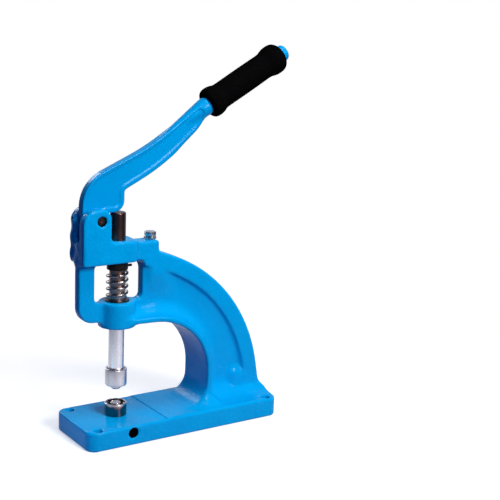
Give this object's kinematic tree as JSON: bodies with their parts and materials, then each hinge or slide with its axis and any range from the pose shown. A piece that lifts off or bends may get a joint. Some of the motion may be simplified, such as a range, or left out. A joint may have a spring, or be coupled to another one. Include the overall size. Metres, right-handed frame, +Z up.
{
  "type": "eyelet press",
  "caption": "Bench press for setting eyelets: cast C-frame on a flat base, hand lever with foam grip, sprung ram, upper and lower die, and a stop bolt.",
  "frame": {"origin": "middle of the base's underside, which is also the middle of its four bolt holes", "axes": "+X along the base from the press head to the spine, +Y across the base, +Z up along the ram"},
  "size_m": [0.2938, 0.096, 0.4738],
  "materials": {
    "blue_enamel": "gloss enamel over rough iron casting",
    "grip_foam": "matte closed-cell foam",
    "ram_steel": "ground steel, oily and dark at the top",
    "spring_steel": "oil-tempered spring wire",
    "dark_steel": "blackened, oiled",
    "die_chrome": "nickel plated, bright",
    "bolt_zinc": "zinc plated"
  },
  "bodies": {
    "frame": {"frame_casting": "blue_enamel", "pivot_pin": "dark_steel", "pivot_set_screw": "dark_steel", "spring_seat_washer": "dark_steel", "lower_die": "die_chrome", "lower_die_set_screw": "dark_steel", "stop_lock_nut": "bolt_zinc", "return_spring": "spring_steel"},
    "hand_lever": {"lever": "blue_enamel", "handle_grip": "grip_foam"},
    "ram_assembly": {"ram": "ram_steel", "spring_collar": "dark_steel", "collar_cross_pin": "ram_steel", "upper_die": "die_chrome", "upper_die_nose": "die_chrome", "upper_die_set_screw": "dark_steel"},
    "stop_screw": {"stop_bolt": "bolt_zinc"}
  },
  "joints": [
    {"name": "lever_hinge", "type": "hinge", "parent": "frame", "child": "hand_lever", "pos_m": [-0.1067, 0, 0.27], "axis": [0, 1, 0], "range_deg": [0, 33]},
    {"name": "ram_slide", "type": "slide", "parent": "frame", "child": "ram_assembly", "axis": [0, 0, -1], "range_m": [0, 0.0154], "stiffness_N_per_m": 13500, "springref_m": -0.006, "deforming": ["return_spring"]},
    {"name": "stop_bolt_slide", "type": "slide", "parent": "frame", "child": "stop_screw", "axis": [0, 0, 1], "range_m": [0, 0.012]}
  ],
  "couplings": [
    {"joint": "ram_slide", "follows": "lever_hinge", "m_per_rad": 0.02673}
  ]
}
